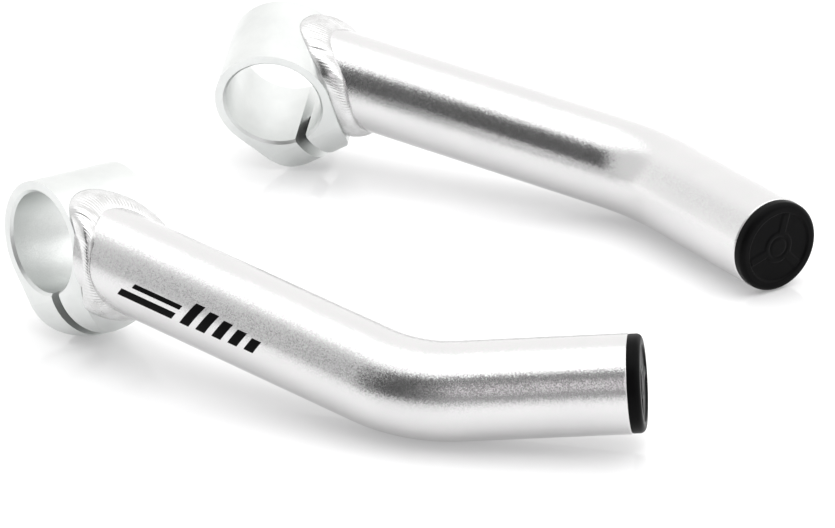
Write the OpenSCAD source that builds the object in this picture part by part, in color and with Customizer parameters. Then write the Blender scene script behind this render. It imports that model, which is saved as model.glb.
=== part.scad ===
// Pair of mirrored bar end grips for a flat handlebar, millimetres, Z up.
// Each one is a split clamp ring, a welded and bent grip tube, a pinch bolt
// with its washer, and a push-in end plug. The right-hand one lies in front.
//
// Frame of one bar end: origin at the centre of the clamp ring, Y along the
// bore towards the side the grip bends to, X from the bore towards the grip,
// Z towards the split. The right-hand one is the mirror image across Y.

/* [Clamp ring] */
// Radius of the bore, which fits the end of a 22.2 mm handlebar
bore_r = 11.1; // [10.9:0.05:11.3]
// Outside radius of the ring
ring_r = 13.6; // [13.2:0.1:14.2]
// Length of the ring along the bore
ring_len = 21.6; // [20:0.1:24]
// Chamfer at both mouths of the bore
mouth_chamfer = 0.6; // [0.2:0.1:1]
// Direction of the split, measured from X towards Z
split_angle = 54; // [50:1:60]
// Width of the split
split_gap = 3; // [1.5:0.1:3.4]
// Distance from the bore axis to the tip of the lobe that is split
lobe_reach = 22.4; // [22:0.1:24]
// Radius of the lobe seen along the bore
lobe_r = 9.75; // [9:0.05:10.5]

/* [Grip tube] */
// Outside radius of the tube
tube_r = 10.45; // [10:0.05:10.8]
// Wall of the tube
tube_wall = 2.05; // [1.5:0.05:2.5]
// Angle of the tube off the square to the bore
tube_lean = 16.6; // [12:0.1:20]
// Length from the ring centre to the start of the bend
straight_len = 82.3; // [70:0.1:95]
// Radius of the bend on the centre line
bend_r = 35; // [30:1:45]
// Angle of the bend
bend_angle = 32; // [20:1:40]
// Roll of the bend plane about the tube
bend_roll = -25.4; // [-35:0.1:-15]
// Length from the end of the bend to the open end
end_len = 35.4; // [25:0.1:45]

/* [Weld bead] */
// Reach of the bead along the tube
bead_on_tube = 4.8; // [3:0.1:5.4]
// Reach of the bead along the ring
bead_on_ring = 2.6; // [1.4:0.1:2.8]

/* [Pinch bolt] */
// Distance from the bore axis to the bolt axis
bolt_reach = 16; // [15.9:0.1:16.2]
// Radius of the bolt shank, M5
shank_r = 2.5; // [2.5:0.1:2.5]
// Length of the bolt under its head
shank_len = 12; // [11:0.5:12.5]
// Radius of the bolt head
head_r = 4.25; // [4:0.05:4.3]
// Height of the bolt head
head_h = 5; // [4:0.1:5]
// Height of the counterbore floor above the middle of the split
seat_h = 3.2; // [2.9:0.1:3.6]
// Thickness of the washer
washer_t = 0.8; // [0.6:0.1:1]

/* [End plug] */
// Radius of the plug's flange
flange_r = 10.3; // [9.8:0.05:10.4]
// Thickness of the plug's flange
flange_t = 2.7; // [2.4:0.1:3.4]
// Radius of the flange's rounded rim
flange_round = 1.2; // [0.6:0.1:1.3]
// Length of the plug inside the tube
plug_len = 14; // [10:1:18]

/* [Hidden] */

$fn = 96;
big = 60;
fit = 0.05;
rest_gap = 0.03;
// The tube's axis passes the ring centre at this offset along Y and Z
tube_offset = [0, -5.4, -1.37];
tube_start = 4;
// The bend's wall is this much thicker each way, and the straight ends lap into it
bend_proud = 0.02;
bend_lap = 0.5;
tube_bore_r = tube_r - tube_wall;
lobe_c = lobe_reach - lobe_r;
// Half-turn rounding of the lobe, seen along the bolt
tongue_r = ring_len / 2 + 0.05;
tongue_c = lobe_reach - 0.1 - tongue_r;
// Angle from the split to the points where the lobe's flanks leave the ring
flank_a = acos((ring_r - lobe_r) / lobe_c);
// The flanks lie this far inside the tangents
flank_in = 0.03;

// The bead stands this far past the ring's ends, where the tube is wider than the ring
bead_past = 0.7;

// Radius of the counterbore for the bolt head and washer
counterbore_r = 4.6;
washer_r = 4.5;
washer_bore_r = shank_r + 0.08;
tapped_r = shank_r + fit;
clear_r = shank_r + 0.3;
washer_z = seat_h + rest_gap;
head_z = washer_z + washer_t + rest_gap;

plug_r = tube_bore_r - 0.45;
plug_rib_r = tube_bore_r - fit;
plug_ribs = 4;

// Where each bar end lies: position of its ring centre, then its turn
right_pos = [-71.306, -16.261, 21.896];
right_turn = [176.0166, 7.7234, -51.388];
left_pos = [-30.393, 71.78, 21.433];
left_turn = [-165.4879, 4.3664, -8.7671];

alloy = [0.80, 0.81, 0.81];
alloy_tube = [0.72, 0.73, 0.73];
alloy_weld = [0.86, 0.86, 0.86];
dark_steel = [0.13, 0.13, 0.14];
steel = [0.62, 0.62, 0.63];
black_plastic = [0.05, 0.05, 0.055];

// ---- Places ----

module in_right() {
  translate(right_pos)
    rotate(right_turn)
      mirror([0, 1, 0])
        children();
}

module in_left() {
  translate(left_pos)
    rotate(left_turn)
      children();
}

// X along the split and away from the bore, Z along the bolt towards its head
module in_split() {
  rotate([0, -split_angle, 0])
    children();
}

// On the bolt axis, Z towards the head, origin in the middle of the split
module on_bolt() {
  in_split()
    translate([bolt_reach, 0, 0])
      children();
}

// X along the straight part of the tube, Y towards the inside of the bend
module in_tube() {
  translate(tube_offset)
    rotate([0, 0, tube_lean])
      rotate([bend_roll, 0, 0])
        children();
}

// At the open end of the tube, Z out of the tube
module at_tube_end() {
  in_tube()
    translate([straight_len, bend_r, 0])
      rotate([0, 0, bend_angle])
        translate([end_len, -bend_r, 0])
          rotate([0, 90, 0])
            children();
}

// ---- Clamp ring ----

// The lobe seen along the bore: a circle and its tangents to the ring, grown by g
module lobe_outline(g) {
  near = ring_r + g - flank_in;
  far = lobe_r + g - flank_in;
  polygon([
    [near * cos(flank_a), near * sin(flank_a)],
    [0, 0],
    [near * cos(flank_a), -near * sin(flank_a)],
    [lobe_c + far * cos(flank_a), -far * sin(flank_a)],
    [lobe_c + far * cos(flank_a), far * sin(flank_a)]
  ]);
  translate([lobe_c, 0])
    circle(r = lobe_r + g);
}

// The ring and its lobe as one bar along the bore, grown by g
module outline_bar(g, len) {
  in_split()
    translate([0, len / 2, 0])
      rotate([90, 0, 0])
        linear_extrude(height = len) {
          circle(r = ring_r + g);
          lobe_outline(g);
        }
}

// What is cut off the lobe to make it a tongue with a round end, seen along the bolt
module tongue_cut() {
  in_split()
    translate([0, 0, -lobe_r - 2])
      linear_extrude(height = 2 * (lobe_r + 2))
        difference() {
          translate([tongue_c, -tongue_r - 2])
            square([2 * tongue_r, 2 * tongue_r + 4]);
          translate([tongue_c, 0])
            circle(r = tongue_r);
        }
}

module bore_cut() {
  rotate([90, 0, 0]) {
    cylinder(r = bore_r, h = ring_len + 2, center = true);
    for (side = [0, 1])
      mirror([0, 0, side])
        translate([0, 0, ring_len / 2 - mouth_chamfer])
          cylinder(r1 = bore_r, r2 = bore_r + 2 * mouth_chamfer, h = 2 * mouth_chamfer);
  }
}

module split_cut() {
  in_split()
    translate([bore_r / 2, -ring_len, -split_gap / 2])
      cube([big, 2 * ring_len, split_gap]);
}

module bolt_cuts() {
  on_bolt() {
    translate([0, 0, seat_h])
      cylinder(r = counterbore_r, h = big);
    cylinder(r = clear_r, h = seat_h + 1);
    translate([0, 0, -shank_len + head_z - 0.9])
      cylinder(r = tapped_r, h = shank_len - head_z + 0.9);
  }
}

module clamp_ring() {
  color(alloy)
    difference() {
      outline_bar(0, ring_len);
      split_cut();
      tongue_cut();
      bore_cut();
      bolt_cuts();
    }
}

// ---- Grip tube ----

module tube_section(g) {
  difference() {
    circle(r = tube_r + g);
    circle(r = tube_bore_r - g);
  }
}

module tube_straight() {
  translate([tube_start, 0, 0])
    rotate([0, 90, 0])
      linear_extrude(height = straight_len - tube_start + bend_lap)
        tube_section(0);
}

module tube_bend() {
  translate([straight_len, bend_r, 0])
    rotate([0, 0, -90])
      rotate_extrude(angle = bend_angle)
        translate([bend_r, 0])
          tube_section(bend_proud);
}

module tube_end() {
  translate([straight_len, bend_r, 0])
    rotate([0, 0, bend_angle])
      translate([-bend_lap, -bend_r, 0])
        rotate([0, 90, 0])
          linear_extrude(height = end_len + bend_lap)
            tube_section(0);
}

module grip_tube() {
  color(alloy_tube)
    union() {
      difference() {
        in_tube()
          tube_straight();
        outline_bar(0, ring_len + 8);
      }
      in_tube() {
        tube_bend();
        tube_end();
      }
    }
}

// ---- Weld bead ----

// The bead fills the corner between the tube and the ring with its lobe
module weld_bead() {
  color(alloy_weld)
    difference() {
      intersection() {
        in_tube()
          translate([tube_start, 0, 0])
            rotate([0, 90, 0])
              cylinder(r = tube_r + bead_on_ring, h = 24);
        outline_bar(bead_on_tube, ring_len + 2 * bead_past);
      }
      in_tube()
        rotate([0, 90, 0])
          cylinder(r = tube_r, h = 40);
      outline_bar(0, ring_len + 8);
    }
}

// ---- Pinch bolt and washer ----

module hex_outline(flats) {
  polygon([for (i = [0 : 5]) flats / sqrt(3) * [cos(60 * i), sin(60 * i)]]);
}

module pinch_bolt() {
  color(dark_steel)
    on_bolt()
      translate([0, 0, head_z])
        difference() {
          union() {
            cylinder(r = head_r, h = head_h - 0.4);
            translate([0, 0, head_h - 0.4])
              cylinder(r1 = head_r, r2 = head_r - 0.4, h = 0.4);
            translate([0, 0, 0.6 - shank_len])
              cylinder(r = shank_r, h = shank_len - 0.6);
            translate([0, 0, -shank_len])
              cylinder(r1 = shank_r - 0.6, r2 = shank_r, h = 0.6);
          }
          translate([0, 0, head_h - 2.5])
            linear_extrude(height = 3)
              hex_outline(4);
        }
}

module bolt_washer() {
  color(steel)
    on_bolt()
      translate([0, 0, washer_z])
        difference() {
          cylinder(r = washer_r, h = washer_t);
          translate([0, 0, -1])
            cylinder(r = washer_bore_r, h = washer_t + 2);
        }
}

// ---- End plug ----

module plug_flange() {
  translate([0, 0, rest_gap])
    cylinder(r = flange_r, h = flange_t - flange_round - rest_gap);
  cylinder(r = flange_r - flange_round, h = flange_t);
  translate([0, 0, flange_t - flange_round])
    rotate_extrude()
      translate([flange_r - flange_round, 0])
        circle(r = flange_round);
}

module plug_face_relief() {
  translate([0, 0, flange_t - 0.6])
    difference() {
      cylinder(r = flange_r - flange_round - 1.1, h = 2);
      translate([0, 0, -1])
        cylinder(r = 4.6, h = 1.4);
      for (i = [0 : 2])
        rotate([0, 0, 120 * i])
          translate([-0.6, 0, -1])
            cube([1.2, flange_r, 1.4]);
    }
}

module end_plug() {
  color(black_plastic)
    at_tube_end()
      difference() {
        union() {
          difference() {
            plug_flange();
            translate([0, 0, -big + rest_gap])
              cylinder(r = big, h = big);
          }
          translate([0, 0, -plug_len])
            cylinder(r = plug_r, h = plug_len + 1);
          for (i = [1 : plug_ribs])
            translate([0, 0, -plug_len + 2.6 * i])
              cylinder(r = plug_rib_r, h = 1);
        }
        translate([0, 0, -plug_len - 1])
          cylinder(r = plug_r - 1.6, h = plug_len);
        plug_face_relief();
      }
}

// ---- Drawing ----

in_right() clamp_ring();  // right_clamp_ring
in_right() grip_tube();  // right_grip_tube
in_right() weld_bead();  // right_weld_bead
in_right() pinch_bolt();  // right_pinch_bolt
in_right() bolt_washer();  // right_bolt_washer
in_right() end_plug();  // right_end_plug
in_left() clamp_ring();  // left_clamp_ring
in_left() grip_tube();  // left_grip_tube
in_left() weld_bead();  // left_weld_bead
in_left() pinch_bolt();  // left_pinch_bolt
in_left() bolt_washer();  // left_bolt_washer
in_left() end_plug();  // left_end_plug
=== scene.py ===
import math

import bmesh
import bpy
from mathutils import Euler, Matrix, Vector


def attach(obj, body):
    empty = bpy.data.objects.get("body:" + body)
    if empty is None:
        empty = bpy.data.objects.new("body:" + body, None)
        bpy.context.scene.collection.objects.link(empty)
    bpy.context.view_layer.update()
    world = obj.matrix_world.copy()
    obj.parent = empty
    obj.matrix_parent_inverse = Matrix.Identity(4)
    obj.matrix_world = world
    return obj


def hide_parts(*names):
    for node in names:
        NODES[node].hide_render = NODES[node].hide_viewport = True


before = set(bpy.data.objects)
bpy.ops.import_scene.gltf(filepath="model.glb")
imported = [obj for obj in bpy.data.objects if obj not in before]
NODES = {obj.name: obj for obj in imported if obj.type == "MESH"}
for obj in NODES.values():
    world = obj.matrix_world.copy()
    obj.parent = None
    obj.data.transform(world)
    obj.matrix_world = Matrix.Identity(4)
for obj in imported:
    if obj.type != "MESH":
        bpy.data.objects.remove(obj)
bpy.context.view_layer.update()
MM = 0.001
TAU = 2 * math.pi

# ---------------------------------------------------------------- sizes in mm and angles, as in the CAD
RING_R = 13.6
RING_LEN = 21.6
SPLIT_ANGLE = math.radians(54)
LOBE_R = 9.75
LOBE_C = 22.4 - LOBE_R
FLANK_A = math.acos((RING_R - LOBE_R) / LOBE_C)
FLANK_DIR = SPLIT_ANGLE - FLANK_A
TUBE_R = 10.45
TUBE_BORE_R = 8.4
TUBE_LEAN = math.radians(16.6)
BEND_ROLL = math.radians(-25.4)
STRAIGHT = 82.3
BEND_R = 35.0
BEND_ANGLE = math.radians(32)
END_LEN = 35.4
TUBE_OFFSET = Vector((0, -5.4, -1.37))
BEAD_ON_RING = 2.6
BOLT_REACH = 16.0
SHANK_R = 2.5
SHANK_LEN = 12.0
HEAD_R = 4.25
HEAD_H = 5.0
SEAT_Z = 3.2
GAP = 0.03
WASHER_T = 0.8
HEAD_Z = SEAT_Z + GAP + WASHER_T + GAP
PITCH = 0.8
FLANGE_R = 10.3
FLANGE_T = 2.7
PLUG_LEN = 14.0

# ---------------------------------------------------------------- sizes of the visual's own detail, mm
BEAD_ON_TUBE = 4.6  # a little less than the CAD's collar
BEAD_CROWN = 0.75
BEAD_PLUMP = 0.45  # more crown where the bead nears an end face of the ring
BEAD_LOBE_EXTRA = 2.0  # more reach along the tube on the lobe side
BEAD_RIPPLES = 112
RIPPLE_SIZE = 0.07
BEAD_SKIN = 0.03
BEAD_BURIED = 0.25
EDGE_EASE = 2.4  # width over which the bead turns to run along the ring's end face
# Where each bead was started, in degrees round the tube, and how far on it was stopped
LUMPS = {"right": (-140, 24), "left": (-44, -24)}
STRIPE_ANGLE = 213.0  # middle of the printed stripes, in degrees round the tube
THREAD_TOP = -2.6
HEX_FLATS = 4.0
PLUG_RIBS = 4
RIB_STEP = 2.6
# One rib of the plug: radius, and height above the rib's start
RIB_PROFILE = ((7.95, 0.0), (8.12, 0.05), (8.34, 0.45), (8.34, 0.75), (8.0, 0.98), (7.95, 1.0))
RING_BEVEL = 0.4
WASHER_BEVEL = 0.1

# ---------------------------------------------------------------- surface grain, cells per metre, and colours
TUBE_GRAIN = 4600
RING_GRAIN = 4300
TUBE_GRAIN_LEAN = 0.09
RING_GRAIN_LEAN = 0.06
LILAC_GRAIN = (0.735, 0.695, 0.722, 1)
GREEN_GRAIN = (0.680, 0.712, 0.684, 1)
TUBE_CLOUD = (0.63, 0.63, 0.64, 1)
RING_TINTS = ((0.74, 0.755, 0.745, 1), (0.69, 0.705, 0.697, 1))
WELD_TINTS = ((0.74, 0.74, 0.74, 1), (0.60, 0.60, 0.595, 1))
PLASTIC_TINTS = ((0.0020, 0.0020, 0.0022, 1), (0.0035, 0.0035, 0.0037, 1))
INK_TINTS = ((0.0020, 0.0020, 0.0022, 1), (0.0045, 0.0045, 0.0047, 1))
FLOOR_TINTS = ((0.76, 0.76, 0.765, 1), (0.78, 0.78, 0.78, 1))
FLOOR_GLOW = 0.22

# ---------------------------------------------------------------- light and camera
# Brightness of the walls by azimuth in degrees, 0 towards the camera and + to the left
ROOM = (
    (-180, 1.25), (-120, 1.1), (-35, 0.9), (-8, 0.40),
    (20, 0.30), (36, 0.055), (48, 0.055), (64, 0.86),
    (112, 0.90), (150, 1.2), (180, 1.25),
)
ROOM_TOP = 2  # the ramp holds brightness as a share of this
WINDOW_COLOUR = (1.20, 1.15, 1.18, 1)
BACK_COLOUR = (1.24, 1.235, 1.23, 1)
PANEL_COLOUR = (2.0, 2.0, 2.0, 1)
CAMERA_AT = (0.00517, -1.02573, 0.47814)
PITCH_DOWN = 24.75
CAMERA_YAW = 0.25
CAMERA_ROLL = -0.6


# ---------------------------------------------------------------- places
def turn(axis, angle):
    return Matrix.Rotation(angle, 4, axis)


def shift(x, y, z):
    return Matrix.Translation((x, y, z))


def lying(pos, degrees, mirrored):
    """A bar end's own frame in mm, laid on the floor in metres, mirrored in its own Y or not."""
    spin = Euler([math.radians(d) for d in degrees]).to_matrix().to_4x4()
    m = Matrix.Scale(MM, 4) @ shift(*pos) @ spin
    if mirrored:
        m = m @ Matrix.Diagonal((1, -1, 1, 1))
    return m


BARS = {
    "right": lying((-71.306, -16.261, 21.896), (176.0166, 7.7234, -51.388), True),
    "left": lying((-30.393, 71.78, 21.433), (-165.4879, 4.3664, -8.7671), False),
}
SPLIT = turn("Y", -SPLIT_ANGLE)
BOLT = SPLIT @ shift(BOLT_REACH, 0, 0)
TUBE = shift(*TUBE_OFFSET) @ turn("Z", TUBE_LEAN) @ turn("X", BEND_ROLL)
TUBE_END = (
    TUBE @ shift(STRAIGHT, BEND_R, 0) @ turn("Z", BEND_ANGLE)
    @ shift(END_LEN, -BEND_R, 0) @ turn("Y", math.pi / 2)
)


# ---------------------------------------------------------------- mesh helpers
def mesh_object(name, verts, faces, place, smooth_deg=35.0):
    me = bpy.data.meshes.new(name)
    me.from_pydata([place @ Vector(v) for v in verts], [], faces)
    bm = bmesh.new()
    bm.from_mesh(me)
    bmesh.ops.recalc_face_normals(bm, faces=bm.faces)
    bm.to_mesh(me)
    bm.free()
    me.shade_smooth()
    ob = bpy.data.objects.new(name, me)
    bpy.context.scene.collection.objects.link(ob)
    if smooth_deg:
        me.set_sharp_from_angle(angle=math.radians(smooth_deg))
    return ob


def spun(name, rings, n, place, smooth_deg=35.0):
    """rings: each a function of the angle giving (radius, z). The ends close on their centres."""
    verts, faces = [], []
    for ring in rings:
        for k in range(n):
            a = TAU * k / n
            r, z = ring(a)
            verts.append((r * math.cos(a), r * math.sin(a), z))
    for j in range(len(rings) - 1):
        for k in range(n):
            k2 = (k + 1) % n
            faces.append((j * n + k, j * n + k2, (j + 1) * n + k2, (j + 1) * n + k))
    for j, flip in ((0, True), (len(rings) - 1, False)):
        c = len(verts)
        z = sum(verts[j * n + k][2] for k in range(n)) / n
        verts.append((0, 0, z))
        for k in range(n):
            k2 = (k + 1) % n
            faces.append((c, j * n + k2, j * n + k) if flip else (c, j * n + k, j * n + k2))
    return mesh_object(name, verts, faces, place, smooth_deg)


def smooth(x, a, b):
    t = max(0.0, min(1.0, (x - a) / (b - a)))
    return t * t * (3 - 2 * t)


def bell(x, c, w):
    return math.exp(-((x - c) / w) ** 2)


def level(r, z):
    return lambda a: (r, z)


def arc(cr, cz, rad, start, end, steps):
    """Rings along an arc of the profile, angles in degrees from +r towards +z."""
    out = []
    for i in range(steps + 1):
        t = math.radians(start + (end - start) * i / steps)
        out.append(level(cr + rad * math.cos(t), cz + rad * math.sin(t)))
    return out


# ---------------------------------------------------------------- material helpers
class Nodes:
    def __init__(self, tree):
        self.tree = tree
        tree.nodes.clear()

    def add(self, kind, **props):
        n = self.tree.nodes.new(kind)
        for k, v in props.items():
            setattr(n, k, v)
        return n

    def link(self, a, b):
        self.tree.links.new(a, b)

    def feed(self, socket, value):
        if isinstance(value, bpy.types.NodeSocket):
            self.link(value, socket)
        else:
            socket.default_value = value

    def math(self, op, a, b=0.0, c=0.0):
        n = self.add("ShaderNodeMath", operation=op)
        for s, v in zip(n.inputs, (a, b, c)):
            self.feed(s, v)
        return n.outputs[0]

    def vec(self, op, a, b=(0, 0, 0)):
        n = self.add("ShaderNodeVectorMath", operation=op)
        self.feed(n.inputs[0], a)
        self.feed(n.inputs[1], b)
        return n.outputs["Value"] if op in ("DOT_PRODUCT", "LENGTH") else n.outputs["Vector"]

    def ramp(self, x, lo, hi, a=0.0, b=1.0, smooth=True):
        n = self.add("ShaderNodeMapRange", interpolation_type="SMOOTHSTEP" if smooth else "LINEAR")
        for s, v in zip(n.inputs, (x, lo, hi, a, b)):
            self.feed(s, v)
        return n.outputs[0]

    def noise(self, co, scale, detail=2.0, rough=0.5):
        n = self.add("ShaderNodeTexNoise")
        self.link(co, n.inputs["Vector"])
        n.inputs["Scale"].default_value = scale
        n.inputs["Detail"].default_value = detail
        n.inputs["Roughness"].default_value = rough
        return n.outputs

    def mix(self, f, a, b, blend="MIX"):
        n = self.add("ShaderNodeMix", data_type="RGBA", blend_type=blend)
        self.feed(n.inputs[0], f)
        self.feed(n.inputs[6], a)
        self.feed(n.inputs[7], b)
        return n.outputs[2]

    def bump(self, height, strength, distance, normal=None):
        n = self.add("ShaderNodeBump")
        n.inputs["Strength"].default_value = strength
        n.inputs["Distance"].default_value = distance
        self.link(height, n.inputs["Height"])
        if normal is not None:
            self.link(normal, n.inputs["Normal"])
        return n.outputs[0]

    def coords(self):
        return self.add("ShaderNodeTexCoord").outputs["Object"]


def principled(name, **fixed):
    mat = bpy.data.materials.new(name)
    mat.use_nodes = True
    n = Nodes(mat.node_tree)
    out = n.add("ShaderNodeOutputMaterial")
    p = n.add("ShaderNodeBsdfPrincipled")
    n.link(p.outputs[0], out.inputs[0])
    for k, v in fixed.items():
        p.inputs[k.replace("_", " ")].default_value = v
    return mat, n, p


def grey(v):
    return (v, v, v, 1)


def facets(n, co, scale, tilt):
    """Normal leaning a random way in each small grain of the surface, and the grain's own colour."""
    cells = n.add("ShaderNodeTexVoronoi", feature="F1")
    n.link(co, cells.inputs["Vector"])
    cells.inputs["Scale"].default_value = scale
    lean = n.vec("SCALE", n.vec("SUBTRACT", cells.outputs["Color"], (0.5, 0.5, 0.5)))
    lean.node.inputs["Scale"].default_value = tilt
    normal = n.add("ShaderNodeNewGeometry").outputs["Normal"]
    return n.vec("NORMALIZE", n.vec("ADD", normal, lean)), cells.outputs["Color"]


def tube_material(name):
    """Bead-blasted and clear anodised: a fine grain between faint lilac and faint green, lightly clouded."""
    mat, n, p = principled(name, Metallic=1.0)
    co = n.coords()
    leaning, grain = facets(n, co, TUBE_GRAIN, TUBE_GRAIN_LEAN)
    fine = n.noise(co, 4200, 1.0, 0.5)
    cloud = n.noise(co, 60, 3.0, 0.55)
    tint = n.mix(grain, LILAC_GRAIN, GREEN_GRAIN)
    base = n.mix(n.ramp(cloud["Fac"], 0.3, 0.75, 0.0, 0.3), tint, TUBE_CLOUD)
    n.link(base, p.inputs["Base Color"])
    n.link(n.math("MULTIPLY_ADD", cloud["Fac"], 0.06, 0.20), p.inputs["Roughness"])
    n.link(n.bump(fine["Fac"], 0.10, 0.00005, leaning), p.inputs["Normal"])
    return mat


def ring_material(name, centre, axis):
    """Turned and blasted alloy, clear anodised: faint rings round the bore under a fine grain."""
    mat, n, p = principled(name, Metallic=1.0)
    co = n.coords()
    along = n.vec("DOT_PRODUCT", n.vec("SUBTRACT", co, tuple(centre)), tuple(axis))
    lines = n.add("ShaderNodeTexNoise", noise_dimensions="1D")
    n.link(along, lines.inputs["W"])
    lines.inputs["Scale"].default_value = 3800
    lines.inputs["Detail"].default_value = 2
    leaning, _ = facets(n, co, RING_GRAIN, RING_GRAIN_LEAN)
    fine = n.noise(co, 3600, 1.0)
    cloud = n.noise(co, 90, 3.0, 0.6)
    base = n.mix(n.ramp(cloud["Fac"], 0.3, 0.7), *RING_TINTS)
    n.link(base, p.inputs["Base Color"])
    rough = n.math("MULTIPLY_ADD", lines.outputs[0], 0.08, n.math("MULTIPLY_ADD", cloud["Fac"], 0.08, 0.30))
    n.link(rough, p.inputs["Roughness"])
    height = n.math("MULTIPLY_ADD", lines.outputs[0], 0.8, fine["Fac"])
    n.link(n.bump(height, 0.18, 0.00005, leaning), p.inputs["Normal"])
    return mat


def weld_material(name):
    """Bare bright weld metal with faint heat marks in the hollows."""
    mat, n, p = principled(name, Metallic=1.0)
    co = n.coords()
    fine = n.noise(co, 2600, 2.0)
    cloud = n.noise(co, 260, 3.0, 0.6)
    base = n.mix(n.ramp(cloud["Fac"], 0.35, 0.7), *WELD_TINTS)
    n.link(base, p.inputs["Base Color"])
    n.link(n.math("MULTIPLY_ADD", cloud["Fac"], 0.22, 0.14), p.inputs["Roughness"])
    n.link(n.bump(fine["Fac"], 0.3, 0.00006), p.inputs["Normal"])
    return mat


def plastic_material(name):
    """Moulded black plastic with a faint spark-eroded texture and dust-grey wear."""
    mat, n, p = principled(name, Metallic=0.0, IOR=1.46, Specular_IOR_Level=0.06)
    co = n.coords()
    fine = n.noise(co, 3800, 2.0, 0.6)
    cloud = n.noise(co, 140, 3.0, 0.6)
    base = n.mix(n.ramp(cloud["Fac"], 0.35, 0.75), *PLASTIC_TINTS)
    n.link(base, p.inputs["Base Color"])
    n.link(n.math("MULTIPLY_ADD", cloud["Fac"], 0.16, 0.30), p.inputs["Roughness"])
    n.link(n.bump(fine["Fac"], 0.12, 0.00004), p.inputs["Normal"])
    return mat


def ink_material(name):
    """Black printed ink, slightly uneven at its edge of gloss."""
    mat, n, p = principled(name, Metallic=0.0, IOR=1.5, Specular_IOR_Level=0.05)
    co = n.coords()
    fine = n.noise(co, 3000, 2.0, 0.6)
    base = n.mix(fine["Fac"], *INK_TINTS)
    n.link(base, p.inputs["Base Color"])
    n.link(n.math("MULTIPLY_ADD", fine["Fac"], 0.2, 0.35), p.inputs["Roughness"])
    n.link(n.bump(fine["Fac"], 0.1, 0.00003), p.inputs["Normal"])
    return mat


def steel_material(name, dark, light, rough):
    """Plated or blackened steel with faint mottling."""
    mat, n, p = principled(name, Metallic=1.0)
    co = n.coords()
    fine = n.noise(co, 3500, 2.0, 0.6)
    cloud = n.noise(co, 300, 3.0, 0.6)
    n.link(n.mix(n.ramp(cloud["Fac"], 0.3, 0.7), grey(dark), grey(light)), p.inputs["Base Color"])
    n.link(n.math("MULTIPLY_ADD", fine["Fac"], 0.15, rough), p.inputs["Roughness"])
    n.link(n.bump(fine["Fac"], 0.12, 0.00003), p.inputs["Normal"])
    return mat


# ---------------------------------------------------------------- weld bead
def face_at(z):
    """Distance along X to the outside of the ring and lobe at height z, and its outward normal."""
    z1 = RING_R * math.sin(FLANK_DIR)
    z2 = LOBE_C * math.sin(SPLIT_ANGLE) + LOBE_R * math.sin(FLANK_DIR)
    if z < z1:
        x = math.sqrt(RING_R ** 2 - z * z)
        return x, Vector((x, 0, z)) / RING_R
    if z < z2:
        flank = Vector((math.cos(FLANK_DIR), 0, math.sin(FLANK_DIR)))
        return (RING_R - z * flank.z) / flank.x, flank
    cx, cz = LOBE_C * math.cos(SPLIT_ANGLE), LOBE_C * math.sin(SPLIT_ANGLE)
    dx = math.sqrt(max(LOBE_R ** 2 - (z - cz) ** 2, 1e-6))
    return cx + dx, Vector((dx, 0, z - cz)) / LOBE_R


def wobble(a, seed):
    waves = math.sin(3 * a + seed) + 0.6 * math.sin(7 * a + 2.1 * seed)
    waves += 0.4 * math.sin(13 * a + 0.7 * seed)
    return waves / 2.0


def turn_gap(a, b):
    return (a - b + math.pi) % TAU - math.pi


def weld_bead(side):
    """A rippled fillet all round the joint, with two lumps where it was started and stopped."""
    n, m = 1100, 20  # round the tube, and across the bead
    along = turn("Z", TUBE_LEAN) @ Vector((1, 0, 0))
    side_dir = turn("Z", TUBE_LEAN) @ Vector((0, 1, 0))
    up = Vector((0, 0, 1))
    edge = RING_LEN / 2 - 0.1
    seed = 1.3 if side == "right" else 2.9
    first = math.radians(LUMPS[side][0])
    lumps = ((first, 0.21, 0.62), (first + math.radians(LUMPS[side][1]), 0.10, 0.30))
    verts, faces = [], []
    for i in range(n):
        a = TAU * i / n
        q = math.cos(a) * side_dir + math.sin(a) * up
        z = TUBE_OFFSET.z + TUBE_R * math.sin(a)
        x, normal = face_at(z)
        s = (x + TUBE_R * math.cos(a) * math.sin(TUBE_LEAN)) / math.cos(TUBE_LEAN)
        joint = TUBE_OFFSET + s * along + TUBE_R * q
        width = 1.0 + 0.05 * wobble(a, seed)
        lump = sum(high * math.exp(-(turn_gap(a, at) / wide) ** 4) for at, wide, high in lumps)
        slide = q - normal * q.dot(normal)
        slide.normalize()
        foot_ring = joint + slide * BEAD_ON_RING * width
        over = abs(foot_ring.y) - (edge - EDGE_EASE)
        if over > 0:
            eased = edge - EDGE_EASE + EDGE_EASE * math.tanh(over / EDGE_EASE)
            foot_ring.y = math.copysign(eased, foot_ring.y)
        foot_ring.x = face_at(foot_ring.z)[0]
        lobe_side = max(0.0, math.sin(a)) ** 2
        reach = BEAD_ON_TUBE * width + BEAD_LOBE_EXTRA * lobe_side + 0.5 * lump
        foot_tube = joint + along * reach
        out = (normal + q).normalized()
        crown = BEAD_CROWN + lump + BEAD_PLUMP * smooth(over, 0.0, 3.0)
        row = [foot_ring - normal * BEAD_BURIED]
        for j in range(m + 1):
            t = j / m
            hump = math.sin(math.pi * t)
            chord = foot_ring.lerp(foot_tube, t)
            phase = i * BEAD_RIPPLES / n + 0.75 * (2 * t - 1) ** 2 + 0.12 * wobble(a * 4, seed)
            wave = math.sin(math.pi * (phase % 1.0) ** 0.7)
            calm = 1 - 0.6 * min(1.0, lump * 2)
            size = RIPPLE_SIZE * (1 + 0.5 * wobble(a * 1.5, seed + 1)) * calm
            ripple = size * (wave - 0.6) * hump ** 0.5
            row.append(chord + out * (BEAD_SKIN + crown * hump ** 0.75 + ripple))
        row += [foot_tube - q * BEAD_BURIED, joint - out * 0.3]
        verts += [tuple(v) for v in row]
    k = m + 4
    for i in range(n):
        i2 = (i + 1) % n
        for j in range(k):
            j2 = (j + 1) % k
            faces.append((i * k + j, i2 * k + j, i2 * k + j2, i * k + j2))
    return mesh_object(side + "_weld_ripples", verts, faces, BARS[side], 50)


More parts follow.
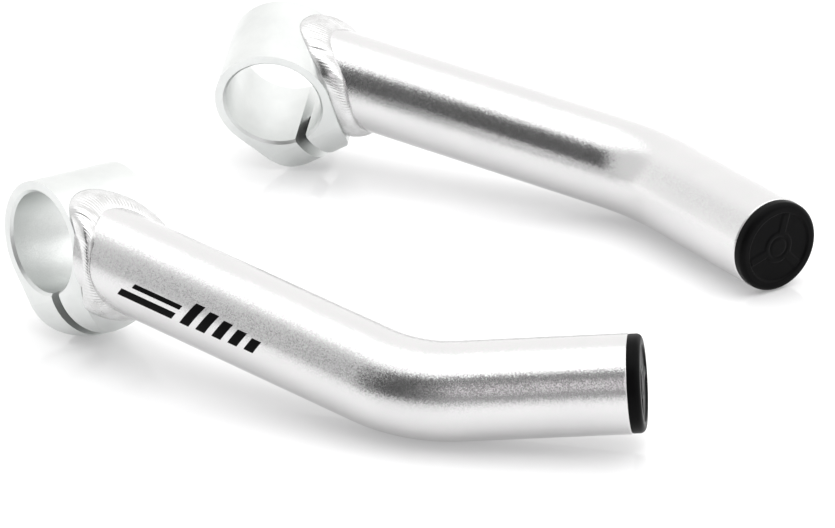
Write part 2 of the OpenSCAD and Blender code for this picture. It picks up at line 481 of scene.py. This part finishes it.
# ---------------------------------------------------------------- grip tube
def grip_tube(side):
    """Bent tube with its wall: coped to the ring at one end, edges broken at the other."""
    n = 288
    arc_len = BEND_R * BEND_ANGLE
    total = STRAIGHT + arc_len + END_LEN

    def coped(b, r):
        a = b + BEND_ROLL
        x = face_at(TUBE_OFFSET.z + r * math.sin(a))[0]
        return (x + r * math.cos(a) * math.sin(TUBE_LEAN)) / math.cos(TUBE_LEAN) + 0.02

    def point(d, r, b):
        th = max(0.0, min(BEND_ANGLE, (d - STRAIGHT) / BEND_R))
        beyond = max(0.0, d - STRAIGHT - arc_len)
        past = min(d, STRAIGHT) + beyond * math.cos(th)
        x = past + BEND_R * math.sin(th) - r * math.cos(b) * math.sin(th)
        y = BEND_R * (1 - math.cos(th)) + beyond * math.sin(th) + r * math.cos(b) * math.cos(th)
        return (x, y, r * math.sin(b))

    stations = [24 + (STRAIGHT - 24) * i / 24 for i in range(25)]
    stations += [STRAIGHT + arc_len * i / 40 for i in range(1, 41)]
    stations += [STRAIGHT + arc_len + (END_LEN - 0.6) * i / 14 for i in range(1, 15)]
    rows = [(None, TUBE_R)] + [(d, TUBE_R) for d in stations]
    for i in range(5):
        t = math.pi / 2 * i / 4
        rows.append((total - 0.3 + 0.3 * math.sin(t), TUBE_R - 0.3 + 0.3 * math.cos(t)))
    rows += [(total, TUBE_BORE_R + 0.15), (total - 0.15, TUBE_BORE_R)]
    rows += [(d, TUBE_BORE_R) for d in reversed(stations)] + [(None, TUBE_BORE_R)]
    verts, faces = [], []
    for d, r in rows:
        for k in range(n):
            b = TAU * k / n
            verts.append(point(coped(b, r) if d is None else d, r, b))
    m = len(rows)
    for j in range(m):
        j2 = (j + 1) % m
        for k in range(n):
            k2 = (k + 1) % n
            faces.append((j * n + k, j * n + k2, j2 * n + k2, j2 * n + k))
    return mesh_object(side + "_bent_tube", verts, faces, BARS[side] @ TUBE, 40)


# ---------------------------------------------------------------- pinch bolt
def hex_radius(a, flats):
    t = (a % (math.pi / 3)) - math.pi / 6
    return flats / 2 / math.cos(t)


def pinch_bolt(side):
    n = 240
    hand = -1 if side == "right" else 1

    def knurl(r, z):
        return lambda a: (r - 0.07 * (0.5 + 0.5 * math.cos(48 * a)), z)

    rings = []
    steps = 200
    rings.append(level(SHANK_R - 1.1, -SHANK_LEN))
    for i in range(steps + 1):
        z = -SHANK_LEN + (THREAD_TOP + SHANK_LEN) * i / steps
        lead = min(1.0, (z + SHANK_LEN) / 0.8)
        fade = min(1.0, max(0.0, (THREAD_TOP - z) / 0.8))
        tip = SHANK_R - 0.6 * (1 - lead)

        def cut(a, z=z, fade=fade, tip=tip):
            ph = (z / PITCH - hand * a / TAU) % 1.0
            v = abs(2 * ph - 1)
            return (tip - 0.36 * fade * max(0.0, min(1.0, (v - 0.12) / 0.7)), z)

        rings.append(cut)
    rings.append(level(SHANK_R, -2.4))
    rings.append(level(SHANK_R, -0.25))
    rings += arc(SHANK_R + 0.25, -0.25, 0.25, 180, 90, 4)
    rings.append(level(HEAD_R - 0.35, 0.0))
    rings.append(level(HEAD_R - 0.12, 0.12))
    rings.append(level(HEAD_R - 0.07, 0.45))
    for i in range(5):
        rings.append(knurl(HEAD_R, 0.7 + 3.1 * i / 4))
    rings.append(level(HEAD_R - 0.07, 4.1))
    rings += arc(HEAD_R - 0.57, 4.5, 0.5, 0, 90, 5)
    rings.append(lambda a: (hex_radius(a, HEX_FLATS) + 0.28, HEAD_H))
    rings.append(lambda a: (hex_radius(a, HEX_FLATS) + 0.10, HEAD_H - 0.06))
    rings.append(lambda a: (hex_radius(a, HEX_FLATS), HEAD_H - 0.25))
    rings.append(lambda a: (hex_radius(a, HEX_FLATS), HEAD_H - 2.5))
    rings.append(level(1.5, HEAD_H - 2.55))
    rings.append(level(0.6, HEAD_H - 2.95))
    return spun(side + "_bolt_threaded", rings, n, BARS[side] @ BOLT @ shift(0, 0, HEAD_Z), 32)


# ---------------------------------------------------------------- end plug
def end_plug(side):
    n = 192
    face = FLANGE_T

    def relief(r):
        def ring(a):
            rim = 1 - smooth(r, 7.75, 8.25)
            drop = 0.42 * rim
            boss = 0.22 * (1 - smooth(r, 3.4, 3.8)) - 0.16 * bell(r, 2.3, 0.3)
            d = abs(((a + math.pi / 3) % (TAU / 3)) - math.pi / 3) * r
            spoke = 0.22 * (1 - smooth(d, 0.8, 1.1)) if r > 3.5 else 0.0
            spoke *= 1 - smooth(r, 7.6, 8.0)
            return (r, face - drop + max(boss, spoke))
        return ring

    rings = [level(3.0, -PLUG_LEN + 9.5), level(6.0, -PLUG_LEN + 9.5)]
    rings += [level(6.25, -PLUG_LEN + 9.0), level(6.25, -PLUG_LEN + 0.3), level(6.4, -PLUG_LEN)]
    rings += arc(7.45, -PLUG_LEN + 0.5, 0.5, -90, 0, 5)
    for i in range(1, PLUG_RIBS + 1):
        z = -PLUG_LEN + RIB_STEP * i
        rings += [level(r, z + up) for r, up in RIB_PROFILE]
    rings += [level(7.95, 0.0), level(8.5, 0.03), level(FLANGE_R - 0.2, 0.03)]
    rings += arc(FLANGE_R - 0.2, 0.23, 0.2, -90, 0, 4)
    rings += arc(FLANGE_R - 1.2, face - 1.2, 1.2, 0, 90, 14)
    steps = 60
    for i in range(steps + 1):
        rings.append(relief(9.0 - (9.0 - 0.25) * i / steps))
    return spun(side + "_plug_moulding", rings, n, BARS[side] @ TUBE_END, 40)


# ---------------------------------------------------------------- printed stripes
def stripes(side):
    """A plain row of slanted bars and two long dashes, printed on the side of the tube."""
    verts, faces = [], []
    shapes = []
    for i in range(5):
        s0 = 39.7 + 4.2 * i
        top = 2.9 - 0.45 * i
        low = -2.9 + 0.2 * i
        shapes.append(((s0, low), (s0 + 2.4, low), (s0 + 5.6 - 0.4 * i, top), (s0 + 3.2 - 0.4 * i, top)))
    shapes.append(((23.2, -2.9), (37.6, -2.9), (38.6, -1.1), (24.2, -1.1)))
    shapes.append(((26.7, 0.0), (39.3, 0.0), (39.9, 1.1), (27.3, 1.1)))
    centre = math.radians(STRIPE_ANGLE)
    for shape in shapes:
        base = len(verts)
        n = 10
        grid = []
        for u in range(n + 1):
            for v in range(n + 1):
                p = [0, 0]
                for c in (0, 1):
                    low = shape[0][c] + (shape[1][c] - shape[0][c]) * u / n
                    high = shape[3][c] + (shape[2][c] - shape[3][c]) * u / n
                    p[c] = low + (high - low) * v / n
                grid.append(p)
        for lift in (0.035, -0.03):
            for s, w in grid:
                a = centre + w / TUBE_R
                r = TUBE_R + lift
                verts.append((s, r * math.cos(a), r * math.sin(a)))
        k = (n + 1) ** 2
        for u in range(n):
            for v in range(n):
                here, beside = base + u * (n + 1) + v, base + (u + 1) * (n + 1) + v
                q = [here, beside, beside + 1, here + 1]
                faces.append(tuple(q))
                faces.append(tuple(i + k for i in reversed(q)))
        rim = [u * (n + 1) for u in range(n + 1)]
        rim += [n * (n + 1) + v for v in range(1, n + 1)]
        rim += [u * (n + 1) + n for u in range(n - 1, -1, -1)]
        rim += [v for v in range(n - 1, 0, -1)]
        for i, a in enumerate(rim):
            b = rim[(i + 1) % len(rim)]
            faces.append((base + a, base + a + k, base + b + k, base + b))
    return mesh_object(side + "_printed_stripes", verts, faces, BARS[side] @ TUBE, 40)


# ---------------------------------------------------------------- build
ALLOY_TUBE = tube_material("blasted alloy")
WELD = weld_material("weld metal")
PLASTIC = plastic_material("black moulding")
INK = ink_material("black ink")
BLACK_STEEL = steel_material("black steel", 0.05, 0.09, 0.32)
ZINC = steel_material("zinc steel", 0.50, 0.62, 0.28)


def dress(node, mat, bevel=0.0, segments=3):
    ob = NODES[node]
    ob.data.materials.clear()
    ob.data.materials.append(mat)
    if bevel:
        b = ob.modifiers.new("edges", "BEVEL")
        b.width = bevel * MM
        b.segments = segments
        b.limit_method = "ANGLE"
        b.angle_limit = math.radians(40)
        b.harden_normals = False


def place_piece(ob, side, body, node, mat):
    ob.data.materials.append(mat)
    if node:
        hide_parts(side + "_" + node)
    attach(ob, side + "_" + body)


for side, place in BARS.items():
    centre = place @ Vector((0, 0, 0))
    axis = (place.to_3x3() @ Vector((0, 1, 0))).normalized()
    dress(side + "_clamp_ring", ring_material(side + " turned alloy", centre, axis), RING_BEVEL)
    place_piece(grip_tube(side), side, "bar_end", "grip_tube", ALLOY_TUBE)
    dress(side + "_bolt_washer", ZINC, WASHER_BEVEL, 2)
    place_piece(weld_bead(side), side, "bar_end", "weld_bead", WELD)
    place_piece(pinch_bolt(side), side, "bolt", "pinch_bolt", BLACK_STEEL)
    place_piece(end_plug(side), side, "plug", "end_plug", PLASTIC)
    place_piece(stripes(side), side, "bar_end", None, INK)

# ---------------------------------------------------------------- floor
bpy.ops.mesh.primitive_plane_add(size=8, location=(0, 0, -0.00005))
floor = bpy.context.object
floor.name = "floor"
mat, n, p = principled("pale floor", IOR=1.45)
co = n.coords()
cloud = n.noise(co, 3.0, 2.0)
n.link(n.mix(cloud["Fac"], *FLOOR_TINTS), p.inputs["Base Color"])
p.inputs["Roughness"].default_value = 0.06
p.inputs["Emission Color"].default_value = (1, 1, 1, 1)
p.inputs["Emission Strength"].default_value = FLOOR_GLOW
floor.data.materials.append(mat)

# ---------------------------------------------------------------- studio light
world = bpy.data.worlds.new("studio")
bpy.context.scene.world = world
world.use_nodes = True
w = Nodes(world.node_tree)
out = w.add("ShaderNodeOutputWorld")
sky = w.add("ShaderNodeBackground")
w.link(sky.outputs[0], out.inputs[0])
direction = w.add("ShaderNodeTexCoord").outputs["Generated"]
xyz = w.add("ShaderNodeSeparateXYZ")
w.link(direction, xyz.inputs[0])
X, Y, Z = xyz.outputs
rad = math.radians
towards_camera = w.math("MULTIPLY", Y, -1)
towards_left = w.math("MULTIPLY", X, -1)
azimuth = w.math("ARCTAN2", towards_left, towards_camera)
height = w.math("MAXIMUM", Z, 0.02)
left = w.math("DIVIDE", towards_left, height)
front = w.math("DIVIDE", towards_camera, height)
# A bright ceiling panel, its edges given as slopes, run over rise
box = w.math("MULTIPLY", w.ramp(left, 0.24, 0.80, 1, 0), w.ramp(front, 0.52, 0.64, 1, 0))
box = w.math("MULTIPLY", box, w.ramp(front, -0.56, -0.44))
room = w.add("ShaderNodeValToRGB")
w.link(w.ramp(azimuth, -math.pi, math.pi, smooth=False), room.inputs[0])
stops = room.color_ramp.elements
for i, (degrees, bright) in enumerate(ROOM):
    at = (degrees + 180) / 360
    stop = stops[i] if i < 2 else stops.new(at)
    stop.position = at
    stop.color = grey(bright / ROOM_TOP)
walls = w.mix(1.0, room.outputs[0], grey(ROOM_TOP), "MULTIPLY")
# A bright window on the camera's side, its edges given in degrees
elevation = w.math("ARCSINE", Z)
window = w.math("MULTIPLY", w.ramp(azimuth, rad(8), rad(19), 1, 0), w.ramp(azimuth, rad(-30), rad(-15)))
window = w.math("MULTIPLY", window, w.ramp(elevation, rad(8), rad(20)))
window = w.math("MULTIPLY", window, w.ramp(elevation, rad(32), rad(44), 1, 0))
walls = w.mix(window, walls, WINDOW_COLOUR)
# Away from the camera the room is evenly pale
back = w.ramp(front, -0.4, -0.9)
walls = w.mix(back, walls, BACK_COLOUR)
w.link(w.mix(box, walls, PANEL_COLOUR), sky.inputs["Color"])


def softbox(name, at, aim, width, depth, watts):
    light = bpy.data.lights.new(name, "AREA")
    light.shape = "RECTANGLE"
    light.size, light.size_y = width, depth
    light.energy = watts
    ob = bpy.data.objects.new(name, light)
    ob.location = at
    ob.rotation_euler = (Vector(aim) - Vector(at)).to_track_quat("-Z", "Y").to_euler()
    bpy.context.scene.collection.objects.link(ob)
    return ob


overhead = softbox("overhead softbox", at=(0.1, 0.35, 1.2), aim=(0, 0, 0), width=1.4, depth=0.8, watts=3.0)
overhead.visible_glossy = False

# ---------------------------------------------------------------- camera
cam_data = bpy.data.cameras.new("camera")
cam_data.sensor_width = 36.0
cam_data.lens = 221.5
cam_data.shift_x = 0.0012
cam_data.shift_y = 0.0053
cam_data.clip_start = 0.05
cam_data.clip_end = 20
cam = bpy.data.objects.new("camera", cam_data)
bpy.context.scene.collection.objects.link(cam)
aim = turn("Z", rad(CAMERA_YAW)) @ turn("X", rad(90 - PITCH_DOWN)) @ turn("Z", rad(CAMERA_ROLL))
cam.matrix_world = shift(*CAMERA_AT) @ aim
bpy.context.scene.camera = cam
bpy.context.scene.view_settings.view_transform = "Standard"

bpy.context.view_layer.update()
